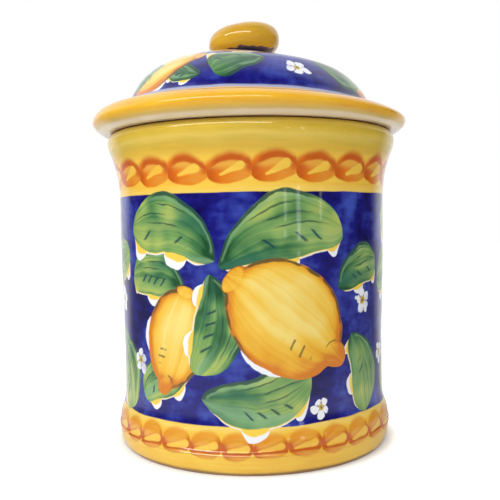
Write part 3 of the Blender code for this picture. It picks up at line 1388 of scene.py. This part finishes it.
@dataclass(frozen=True)
class LidGlaze(Glaze):
    """The lid's painting: a gold flange and a cobalt dome with fruit and leaves."""

    reference_radius: float = 0.045
    crown_run: float = 0.0
    crown_ring: float = 0.0510
    dome_foot_run: float = 0.0
    flange_run: float = 0.0
    seat_end: float = 0.0
    # The bare seat: guessed bare clay, whose brown also paints the shaded gap between the lid and the jar.
    bare_start: float = -0.0100
    bare_end: float = -0.0032
    bare_blend: float = 0.0006
    least_spread: float = 0.012
    scallops: float = 9.0
    scallop_depth: float = 0.007
    white_ring: tuple[float, float] = (0.038, 0.042)
    lavender_edge: float = 0.0040
    cobalt_edge: float = 0.0024
    # Where the band of painted shade and rim reflection under the flange's edge starts and where it is
    # full.
    reflection_shade_band: tuple[float, float] = (-0.0062, -0.0040)
    gold_edge: float = 0.0028
    thin_softness: float = 0.0004
    dome_softness: float = 0.0005
    gold_softness: float = 0.0012

    def bare(self, w: Wiring) -> Value:
        """Bare clay on the seat, wiped so that the lid doesn't stick to the jar in the kiln; its brown is
        also painted shade in the gap.
        """
        return w.between(w.run() - self.seat_end, self.bare_start, self.bare_end, self.bare_blend)

    @property
    def frieze(self) -> Frieze:
        """The lemon, leaves and blossom of one third of the way round the dome.

        Returns:
            The dome's frieze.
        """
        return Frieze(
            (
                leaf(-0.0180, 0.0700, -150, 0.022, 0.26, -0.12, 1.2, 0.0024, 4.2),
                lemon(-0.0400, 0.0600, 155, 0.0200, 0.0160, 2.0),
                leaf(0.0060, 0.0570, 160, 0.030, 0.30, 0.10, 1.5, -0.0030, 1.3),
                leaf(0.0290, 0.0540, 22, 0.032, 0.28, 0.10, 1.2, 0.0026, 3.2),
                blossom(0.0170, 0.0650, 10, 0.0066, 0.4),
            ),
            repeats=3,
            reach=self.reference_radius,
        )

    def colour(self, w: Wiring, place: Signal) -> Signal:
        """Paint the dome, then the flange, then leave the underside white, with painted shade and a
        painted reflection of the rim's yellow just under the flange's edge.

        Args:
            w: The material's wiring.
            place: The place on the piece.

        Returns:
            The lid's colour.
        """
        x, y, _ = w.separate(place)
        hand = w.use(Brushwork.HAND.value, reach=0.8)
        run = w.run()
        down = self.crown_run - run
        turned = w.math("ARCTAN2", x, y * -1.0) + hand["Round"] / self.reference_radius
        cobalt = w.use(Brushwork.COBALT.value)["Colour"]
        spread = w.math("MAXIMUM", down * 0.9, self.least_spread)
        dome = self.frieze.paint(w, cobalt, hand, turned, spread, down + hand["Rise"])
        gold = w.lay(Pigment.GOLD, Pigment.DEEP_GOLD, w.use(Brushwork.BAND.value)["Depth"] ** 1.5)
        wavy = run + hand["Edge"]
        foot = self.dome_foot_run
        scallop = abs(w.math("SINE", turned * (self.scallops / 2))) ** 0.6 * self.scallop_depth
        crown = w.inside(self.crown_ring - scallop - down + hand["Rise"], self.dome_softness)
        ring = w.lay(Pigment.CREAM, Pigment.RESERVE_WHITE, w.smooth(down, *self.white_ring))
        dome = w.lay(dome, ring, crown)
        halo = w.inside(wavy - foot + self.lavender_edge, self.thin_softness)
        paint = w.lay(gold, Pigment.LAVENDER, halo)
        paint = w.lay(paint, dome, w.inside(wavy - foot + self.cobalt_edge, self.dome_softness))
        under = w.lay(Pigment.TIN_WHITE, Pigment.UNDERSIDE, hand["Patch"] * 0.5 + 0.6)
        rolled = wavy - self.flange_run
        # A band of painted shade and painted reflection of the rim's yellow, just under the flange's edge.
        under = w.lay(under, Pigment.SHADED_RIM_REFLECTION, w.smooth(rolled, *self.reflection_shade_band) * 0.9)
        return w.lay(under, paint, w.inside(rolled + self.gold_edge, self.gold_softness))


@dataclass(frozen=True)
class KnobGlaze(Glaze):
    """The knob's painting: gold, with a ragged dark blue smear where it meets the crown."""

    neck_run: float = 0.0
    smear_rise: float = 0.0036
    smear_wander: float = 0.009
    smear_softness: float = 0.0007

    def colour(self, w: Wiring, place: Signal) -> Signal:
        """Paint the ball gold and smear the neck with the dome's blue.

        Args:
            w: The material's wiring.
            place: The place on the piece.

        Returns:
            The knob's colour.
        """
        hand = w.use(Brushwork.HAND.value)
        gold = w.lay(Pigment.HONEY, Pigment.GOLD, w.use(Brushwork.BAND.value)["Depth"] * 0.5)
        gold = w.lay(gold, Pigment.DEEP_GOLD, w.smooth(hand["Patch"], 0.5, 0.75) * 0.3)
        smear = self.neck_run + self.smear_rise + (hand["Loose"] - 0.5) * self.smear_wander - w.run()
        return w.lay(gold, Pigment.COBALT, w.inside(smear, self.smear_softness) * 0.92)


# The pot's two sub-assemblies


def finish_piece(
    piece: bpy.types.Object, glaze: Glaze, body: str, node: str
) -> bpy.types.Object:
    """Dress a piece, make it ride on its body and let it stand for its solid.

    Args:
        piece: The piece.
        glaze: Its finish.
        body: The body that it moves with.
        node: The solid that it stands for.

    Returns:
        The piece.
    """
    piece.data.materials.append(glaze.material())
    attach(piece, body)
    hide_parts(node)
    LOG.info("%s: %d faces on body %s", piece.name, len(piece.data.polygons), body)
    return piece


@dataclass(frozen=True)
class Jar:
    """The pot: floor, wall, foot roll and flared rim, thrown in one piece."""

    height: float = 0.1680
    wall_radius: float = 0.0724
    wall_taper: float = 0.0011
    wall_thickness: float = 0.0055
    foot_spread: float = 0.0036
    foot_height: float = 0.0300
    foot_round: float = 0.0032
    foot_ring_width: float = 0.0090
    foot_recess: float = 0.0015
    floor_thickness: float = 0.0070
    floor_fillet: float = 0.0080
    rim_spread: float = 0.0073
    rim_height: float = 0.0380
    rim_thickness: float = 0.0085
    flare_shares: tuple[float, float] = (0.70, 0.20)
    foot_widest_share: float = 0.35
    lip_drop_share: float = 0.12
    outer_lip_share: float = 0.38
    inner_lip_share: float = 0.24
    wobble: float = 0.00022
    throwing_depth: float = 0.00006
    throwing_pitch: float = 0.0095
    ridge_heights: tuple[float, float] = (0.0102, 0.0119)
    ridge_width: float = 0.0008
    ridge_depth: float = 0.00045
    ridge_sharpness: float = 1.3
    ridge_margin: float = 0.0016
    ridge_spacing: float = 0.00014
    ridge_fade_height: float = 0.024
    fade_length: float = 0.01
    oval_turn: float = 0.7

    @property
    def rim_radius(self) -> float:
        """The rim's greatest radius."""
        return self.wall_radius + self.rim_spread

    @property
    def throat_radius(self) -> float:
        """The bore under the flare, where the lid's collar goes in."""
        return self.wall_radius + self.wall_taper - self.wall_thickness

    @property
    def mouth_radius(self) -> float:
        """The bore at the rim."""
        return self.rim_radius - self.rim_thickness

    def outline(self) -> Outline:
        """Walk the section from under the floor, up the outside and down the inside.

        Returns:
            The jar's outline, with marks where its glaze starts and its painting ends.
        """
        foot_radius = self.wall_radius + self.foot_spread
        foot_rest = foot_radius - self.foot_round
        recess_edge = foot_rest - self.foot_ring_width
        shoulder_radius = self.wall_radius + self.wall_taper
        shoulder_height = self.height - self.rim_height
        rim_widest = self.height - self.lip_drop_share * self.rim_height
        outer_round = self.outer_lip_share * self.rim_thickness
        inner_round = self.inner_lip_share * self.rim_thickness
        inner_wall = self.wall_radius - self.wall_thickness
        floor = self.foot_recess + self.floor_thickness
        outline = Outline(0.0, self.foot_recess)
        outline.line_to(recess_edge - self.foot_recess, self.foot_recess, 0.004)
        outline.line_to(recess_edge, 0.0).line_to(foot_rest, 0.0).mark("glaze_start")
        foot_widest = self.foot_widest_share * self.foot_height
        lower, upper = self.ridge_heights
        crowd = (lower - self.ridge_margin, upper + self.ridge_margin, self.ridge_spacing)
        outline.bend_to(foot_radius, foot_widest, OUTWARD, UPWARD, spacing=0.0005, crowd=crowd)
        outline.bend_to(self.wall_radius, self.foot_height, UPWARD, UPWARD, spacing=0.0006, crowd=crowd)
        outline.bend_to(shoulder_radius, shoulder_height, UPWARD, UPWARD, spacing=0.0014)
        outline.bend_to(self.rim_radius, rim_widest, UPWARD, UPWARD, self.flare_shares)
        outline.bend_to(self.rim_radius - outer_round, self.height, UPWARD, INWARD, spacing=0.0004)
        outline.line_to(self.mouth_radius + inner_round, self.height, 0.001).mark("paint_end")
        outline.bend_to(self.mouth_radius, self.height - inner_round, INWARD, DOWNWARD, spacing=0.0004)
        outline.bend_to(self.throat_radius, shoulder_height, DOWNWARD, DOWNWARD, spacing=0.002)
        outline.line_to(inner_wall, self.foot_height, 0.003)
        outline.line_to(inner_wall, floor + self.floor_fillet, 0.003)
        outline.bend_to(inner_wall - self.floor_fillet, floor, DOWNWARD, INWARD)
        outline.line_to(0.0, floor, 0.005)
        return outline

    def throw(
        self, radius: np.ndarray, height: np.ndarray, turn: np.ndarray
    ) -> tuple[np.ndarray, np.ndarray]:
        """Shape the surface as hands on a wheel do, always inwards.

        The wall is slightly oval, by a cosine of twice the angle that grows with height, and holds
        faint throwing rings that climb as a helix: a sine of height and angle. Round the foot two
        ridges are left standing, each falling from its crest by a power of the distance in height.

        Args:
            radius: Each point's distance from the axis.
            height: Each point's height.
            turn: Each point's angle, 0 at the front.

        Returns:
            The points' new distances and heights.
        """
        share = height / self.height
        oval = self.wobble * share * (1 + np.cos(2 * turn + self.oval_turn)) / 2
        wall = np.clip((height - self.foot_height) / self.fade_length, 0, 1)
        rings = np.sin(FULL_TURN * height / self.throwing_pitch + turn) + 1
        standing = radius > self.throat_radius - self.wall_thickness
        crests = [
            np.clip(1 - np.abs(height - place) / self.ridge_width, 0, 1) ** self.ridge_sharpness
            for place in self.ridge_heights
        ]
        low = np.clip((self.ridge_fade_height - height) / self.fade_length, 0, 1)
        ridge = self.ridge_depth * (1 - np.maximum(*crests)) * low
        inset = oval + self.throwing_depth * rings / 2 * wall + ridge
        return np.where(standing & (height > TINY), radius - inset, radius), height

    def build(self) -> None:
        """Make the pot and dress it."""
        outline = self.outline()
        surface = TurnedSurface("jar", outline, around=256, shaping=self.throw)
        glaze = JarGlaze(
            "jar_painting",
            glaze_start=outline.run_at("glaze_start"),
            paint_end=outline.run_at("paint_end"),
        )
        finish_piece(surface.build(), glaze, "jar", "jar_body")


@dataclass(frozen=True)
class Lid:
    """The lid: its shell, the collar luted under it and the knob luted on top."""

    jar: Jar
    fit_gap: float = 0.0003
    collar_play: float = 0.0010
    collar_wall: float = 0.0045
    collar_depth: float = 0.0110
    collar_ledge: float = 0.0040
    wall: float = 0.0055
    seat_margin: float = 0.0010
    flange_overhang: float = 0.0077
    flange_round: float = 0.0104
    flange_edge_height: float = 0.0062
    flange_thickness: float = 0.0127
    dome_foot_height: float = 0.0190
    height: float = 0.0449
    knob_radius: float = 0.0200
    knob_height: float = 0.0172
    knob_widest_height: float = 0.0070
    knob_neck_radius: float = 0.0125
    knob_neck_height: float = 0.0010
    knob_offset: float = 0.0028
    knob_seat_margin: float = 0.0005
    knob_lean: float = math.radians(5.0)
    dome_shares: tuple[float, float] = (0.45, 0.45)
    cove_shares: tuple[float, float] = (0.80, 0.80)
    underside_shares: tuple[float, float] = (0.30, 0.30)
    knob_shares: tuple[float, float] = (0.70, 0.70)
    collar_round_share: float = 0.33
    hollow_round_share: float = 0.40
    dome_lean: float = math.radians(2.4)
    flange_lean: float = math.radians(0.6)
    flange_sag: float = math.radians(1.6)
    sag_round: float = 0.02
    dome_blend: float = 0.009
    dome_flare: float = 0.0021
    flare_height: float = 0.0100
    flare_limit: float = 1.6
    flare_bias: float = 0.25
    edge_droop: tuple[float, float] = (0.00095, 0.00045)
    crown_sink: float = 0.0005
    sink_radii: tuple[float, float] = (0.0215, 0.0370)
    crown_slump: float = 0.0036
    slump_radii: tuple[float, float] = (0.0340, 0.0540)
    knob_clearance: float = 0.0003
    knob_blend: float = 0.0080
    flange_trim: float = 0.0016
    lump_depth: float = 0.0004
    lump_turn: float = 1.1
    dent_depth: float = 0.0005
    dent_offset: float = 0.004
    dent_width: float = 0.006
    dent_reach: float = 0.012

    @property
    def seat(self) -> float:
        """The height of the lid's seat."""
        return self.jar.height + self.fit_gap

    @property
    def collar_radius(self) -> float:
        """The collar's outer radius, which clears the mouth all the way down."""
        return min(self.jar.throat_radius, self.jar.mouth_radius) - self.collar_play

    @property
    def hollow_radius(self) -> float:
        """The radius of the hollow under the dome."""
        return self.collar_radius - self.collar_wall - self.collar_ledge

    def shell_outline(self) -> Outline:
        """Walk from the hollow's ceiling down, out along the seat, round the flange, up the dome.

        Returns:
            The shell's outline, with marks where its paints begin and end.
        """
        seat = self.seat
        ceiling = seat + self.height - self.wall
        foot = seat + self.dome_foot_height
        hollow_round = self.hollow_round_share * self.collar_ledge
        flange_radius = self.jar.rim_radius + self.flange_overhang
        flange_top = seat + self.flange_thickness
        crown = self.knob_neck_radius + self.knob_offset + self.knob_seat_margin
        outline = Outline(0.0, ceiling)
        outline.line_to(crown, ceiling, 0.003)
        outline.bend_to(self.hollow_radius, foot, OUTWARD, DOWNWARD, self.dome_shares, 0.0018)
        outline.line_to(self.hollow_radius, seat + hollow_round, 0.003)
        outline.bend_to(self.hollow_radius + hollow_round, seat, DOWNWARD, OUTWARD)
        outline.line_to(self.jar.rim_radius + self.seat_margin, seat, 0.002).mark("seat_end")
        outline.bend_to(
            flange_radius, seat + self.flange_edge_height, OUTWARD, UPWARD, self.underside_shares, 0.0005
        )
        outline.mark("flange_edge")
        flange_crest = flange_radius - self.flange_round
        outline.bend_to(flange_crest, flange_top, UPWARD, INWARD, spacing=0.0005)
        outline.mark("crest")
        outline.bend_to(self.hollow_radius + self.wall, foot, INWARD, UPWARD, self.cove_shares, 0.0005)
        outline.mark("dome_foot")
        outline.bend_to(crown, seat + self.height, UPWARD, INWARD, self.dome_shares)
        outline.line_to(0.0, seat + self.height, 0.003)
        return outline.mark("crown")

    def collar_outline(self) -> Outline:
        """Walk down the bore, round the lower edge and up the outside.

        Returns:
            The collar's outline, to be closed into a ring.
        """
        top = self.seat - self.fit_gap
        bottom = self.seat - self.collar_depth
        bore = self.collar_radius - self.collar_wall
        edge = self.collar_round_share * self.collar_wall
        outline = Outline(bore, top)
        outline.line_to(bore, bottom + edge)
        outline.bend_to(bore + edge, bottom, DOWNWARD, OUTWARD)
        outline.line_to(self.collar_radius - edge, bottom, 0.0008)
        outline.bend_to(self.collar_radius, bottom + edge, OUTWARD, UPWARD)
        outline.line_to(self.collar_radius, top)
        return outline

    def knob_outline(self) -> Outline:
        """Walk from the neck's foot out and over the ball.

        Returns:
            The knob's outline, with a mark where the neck ends.
        """
        outline = Outline(0.0, 0.0)
        outline.line_to(self.knob_neck_radius, 0.0)
        outline.line_to(self.knob_neck_radius, self.knob_neck_height, 0.0005).mark("neck")
        outline.bend_to(self.knob_radius, self.knob_widest_height, OUTWARD, UPWARD, spacing=0.0004)
        outline.bend_to(0.0, self.knob_height, UPWARD, INWARD, self.knob_shares, 0.0005)
        return outline

    def settle(
        self, radius: np.ndarray, height: np.ndarray, turn: np.ndarray
    ) -> tuple[np.ndarray, np.ndarray]:
        """Let the thrown lid sag a little on its right, as it does while the clay is soft.

        With x the place across, the flange's top falls by a lean times the half sum of x and the root
        of x squared and a small square, so only on the right, and the dome above it by a lean times
        x, the flange by a smaller one. The flange's outermost ring droops by the square and the cube
        of the sine of the angle. The crown's shoulder sinks round the knob, by more on the right, and
        nothing moves under the knob. The dome's foot flares out, more on the left, by a square that
        falls to nothing with height. The flange is thrown a little narrower on the right, by the
        square of the sine of the angle.

        Args:
            radius: Each point's distance from the axis.
            height: Each point's height.
            turn: Each point's angle, 0 at the front.

        Returns:
            The points' new distances and heights.
        """

        def rise(value: np.ndarray, low: float, high: float) -> np.ndarray:
            """Rise smoothly from 0 at low to 1 at high."""
            share = np.clip((value - low) / (high - low), 0, 1)
            return share**2 * (3 - 2 * share)

        foot = self.seat + self.dome_foot_height
        edge = self.seat + self.flange_edge_height
        side = np.sin(turn)
        across = radius * side
        above_edge = rise(height, edge, self.seat + self.flange_thickness)
        dome = rise(height, foot, foot + self.dome_blend)
        sag = math.tan(self.flange_sag) * (across + np.hypot(across, self.sag_round)) / 2
        sag = (sag + math.tan(self.flange_lean) * across) * above_edge * (1 - dome)
        sag = sag + math.tan(self.dome_lean) * across * dome
        rim = self.jar.rim_radius
        ring = rise(radius, rim + self.seat_margin, rim + self.flange_overhang)
        sag = sag + (self.edge_droop[0] * side**2 + self.edge_droop[1] * side**3) * ring
        sag = sag + self.crown_sink * dome * (1 - rise(radius, *self.sink_radii))
        sag = sag + self.crown_slump * (1 + side) / 2 * dome * (1 - rise(radius, *self.slump_radii))
        from_knob = np.hypot(across + self.knob_offset, radius * np.cos(turn))
        kept = self.knob_neck_radius + self.knob_clearance
        clear = rise(from_knob, kept, kept + self.knob_blend)

        brink = rim + self.flange_overhang
        crest = brink - self.flange_round
        wall = self.hollow_radius + self.wall
        nearer = np.clip((crest - radius) / (crest - wall), 0, 1)
        fading = np.clip(1 - (height - foot) / self.flare_height, 0, self.flare_limit) ** 2
        flare = self.dome_flare * (1 - side * self.flare_bias) * above_edge * nearer * fading
        trim = self.flange_trim * np.clip(side, 0, 1) ** 2 * rise(radius, crest, brink)
        return radius + flare - trim, height - sag * clear

    def press(
        self, radius: np.ndarray, height: np.ndarray, turn: np.ndarray
    ) -> tuple[np.ndarray, np.ndarray]:
        """Shape the ball as a thumb does: lean it to the right and dent its top.

        Height rises with the place across by the tangent of the lean, from nothing at the neck to
        the full slope at the widest place. Radius falls by a cosine of three times the angle. The
        dent is a bell curve of the place across, times another one of the radius.

        Args:
            radius: Each point's distance from the axis.
            height: Each point's height.
            turn: Each point's angle, 0 at the front.

        Returns:
            The points' new distances and heights.
        """
        rise = self.knob_widest_height - self.knob_neck_height
        share = np.clip((height - self.knob_neck_height) / rise, 0, 1)
        lump = self.lump_depth * share * (1 + np.cos(3 * turn + self.lump_turn)) / 2
        slim = np.clip(radius / self.knob_radius, 0, 1)
        pressed = radius - lump * slim
        leaning = height + share * math.tan(self.knob_lean) * pressed * np.sin(turn)
        from_dent = (radius * np.sin(turn) + self.dent_offset) / self.dent_width
        dent = self.dent_depth * share * np.exp(-(from_dent**2))
        return pressed, leaning - dent * np.exp(-((radius / self.dent_reach) ** 2))

    def build(self) -> None:
        """Make the shell, the collar and the knob and dress them."""
        shell = self.shell_outline()
        shell_glaze = LidGlaze(
            "lid_painting",
            crown_run=shell.run_at("crown"),
            dome_foot_run=shell.run_at("dome_foot"),
            flange_run=shell.run_at("flange_edge"),
            seat_end=shell.run_at("seat_end"),
        )
        surface = TurnedSurface("lid_shell", shell, around=288, shaping=self.settle)
        finish_piece(surface.build(), shell_glaze, "lid", "lid_dome")

        collar = TurnedSurface("lid_locating_collar", self.collar_outline(), around=192, closed=True)
        finish_piece(collar.build(), Glaze("bare_tin_white"), "lid", "lid_collar")

        knob = self.knob_outline()
        foot = (-self.knob_offset, 0.0, self.seat + self.height + self.fit_gap)
        ball = TurnedSurface("knob", knob, around=144, shaping=self.press, centre=foot)
        knob_glaze = KnobGlaze("knob_painting", neck_run=knob.run_at("neck"))
        finish_piece(ball.build(), knob_glaze, "lid", "lid_knob")


# The studio


@dataclass(frozen=True)
class Softbox:
    """One rectangular lamp, aimed at the pot's middle."""

    name: str
    place: Point
    width: float
    height: float
    watts: float
    mirrored: bool = True

    def build(self, target: Point) -> None:
        """Hang the lamp and turn its face to the target.

        Args:
            target: The place that it faces.
        """
        data = bpy.data.lights.new(self.name, "AREA")
        data.shape = "RECTANGLE"
        data.size = self.width
        data.size_y = self.height
        data.energy = self.watts
        lamp = add_object(self.name, data)
        lamp.location = self.place
        lamp.visible_glossy = self.mirrored
        aim = Vector(target) - Vector(self.place)
        lamp.rotation_euler = aim.to_track_quat("-Z", "Y").to_euler()


@dataclass(frozen=True)
class Studio:
    """A white sweep, soft lamps and the photograph's viewpoint."""

    camera_place: Point = (-0.0012, -0.394, 0.1188)
    camera_pitch: float = math.radians(-2.15)
    camera_roll: float = math.radians(-0.8)
    focal_pixels: float = 690.0
    frame_pixels: float = 500.0
    sensor: float = 36.0
    floor_half: float = 3.0
    target: Point = (0.0, 0.0, 0.12)
    ambient: float = 0.56
    mirrored_least: float = 0.06
    mirrored_above: tuple[float, float] = (-0.35, 0.35)
    mirrored_level: tuple[float, float] = (0.50, 0.78)
    level_heights: tuple[float, float] = (0.5, 0.2)
    floor_behind: tuple[float, float] = (0.45, 0.78)
    floor_ahead: tuple[float, float] = (0.12, 0.42)
    floor_white: float = 0.86
    floor_grey: float = 0.26
    floor_mirrored_glow: float = 0.35
    floor_glow: tuple[float, float] = (0.16, 0.64)
    shadow_radii: tuple[float, float] = (0.0735, 0.0850)
    lamps: tuple[Softbox, ...] = (
        Softbox("long_strip", (-0.36, -0.75, 0.79), 1.50, 0.10, 5.2),
        Softbox("overhead_fill", (-0.42, -0.75, 1.05), 1.40, 0.30, 2.7, mirrored=False),
        Softbox("left_fill", (-1.2, -0.5, 0.7), 0.8, 0.8, 3.0, mirrored=False),
        Softbox("right_strip_near", (0.426, -0.871, 0.155), 0.040, 0.100, 0.028),
        Softbox("right_strip_middle", (0.580, -0.773, 0.150), 0.050, 0.160, 0.070),
        Softbox("right_strip_far", (0.800, -0.533, 0.150), 0.035, 0.055, 0.013),
    )

    def set_camera(self) -> None:
        """Put the camera where the photograph was taken from."""
        data = bpy.data.cameras.new("camera")
        data.sensor_width = self.sensor
        data.lens = self.focal_pixels / self.frame_pixels * self.sensor
        data.clip_start = 0.01
        camera = add_object("camera", data)
        camera.location = self.camera_place
        level = Matrix.Rotation(math.pi / 2 + self.camera_pitch, 4, "X")
        camera.rotation_euler = (level @ Matrix.Rotation(self.camera_roll, 4, "Z")).to_euler()
        bpy.context.scene.camera = camera

    def set_world(self) -> None:
        """Light the pot evenly, show white to the camera, and let the glaze mirror a backdrop.

        For level directions the backdrop stands behind the pot and ends on both sides, and higher
        up it comes forward, so that the pot's sides mirror it as two white strips.
        """
        world = bpy.data.worlds.new("white_sweep")
        world.use_nodes = True
        bpy.context.scene.world = world
        w = Wiring(world.node_tree)
        seen, glossy = w.rays()
        coordinate = w.node("ShaderNodeTexCoord")
        _, away, above = w.separate(Signal(w, coordinate.outputs["Generated"]))
        level = w.smooth(above, *self.level_heights)
        limits = [w.blend(*pair, level) for pair in zip(self.mirrored_above, self.mirrored_level)]
        mirrored = w.smooth(away, *limits) * (1 - self.mirrored_least) + self.mirrored_least
        background = world.node_tree.nodes["Background"]
        strength = w.blend(w.blend(self.ambient, mirrored, glossy), 1.0, seen)
        background.inputs["Color"].default_value = (1.0, 1.0, 1.0, 1.0)
        w.feed(background.inputs["Strength"], strength)

    def set_floor(self) -> None:
        """Lay a white floor that keeps the pot's shadow and fades into the white behind it.

        The glaze mirrors it white near the foot and behind the pot, and grey farther off on the
        other sides, where no lamp reaches.
        """
        half = self.floor_half
        mesh = bpy.data.meshes.new("floor")
        corners = [(-half, -half, 0.0), (half, -half, 0.0), (half, half, 0.0), (-half, half, 0.0)]
        mesh.from_pydata(corners, [], [(0, 1, 2, 3)])
        floor = add_object("floor", mesh)
        material = bpy.data.materials.new("white_floor")
        material.use_nodes = True
        shader = material.node_tree.nodes["Principled BSDF"]
        shader.inputs["Roughness"].default_value = 0.9
        shader.inputs["Specular IOR Level"].default_value = 0.0
        shader.inputs["Emission Color"].default_value = (1.0, 0.98, 0.97, 1.0)
        w = Wiring(material.node_tree)
        seen, glossy = w.rays()
        x, y, _ = w.separate(w.position())
        away = w.distance(x, y)
        least, more = self.floor_glow
        glow = w.smooth(away, *self.shadow_radii) * more + least
        behind = w.smooth(y / away, *self.floor_behind)
        glow = seen * glow + glossy * behind * self.floor_mirrored_glow
        w.feed(shader.inputs["Emission Strength"], glow)
        mirrored = (1.0 - behind) * w.smooth(away, *self.floor_ahead) * glossy
        w.feed(shader.inputs["Base Color"], w.blend(self.floor_white, self.floor_grey, mirrored))
        mesh.materials.append(material)

    def build(self) -> None:
        """Set the camera, the world, the floor and the lamps."""
        bpy.context.scene.view_settings.view_transform = "Standard"
        self.set_camera()
        self.set_world()
        self.set_floor()
        for lamp in self.lamps:
            lamp.build(self.target)


def main() -> None:
    """Load the frame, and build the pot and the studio."""
    logging.basicConfig(level=logging.INFO, format="%(name)s: %(message)s")
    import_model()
    jar = Jar()
    jar.build()
    Lid(jar).build()
    Studio().build()


if __name__ == "__main__":
    main()
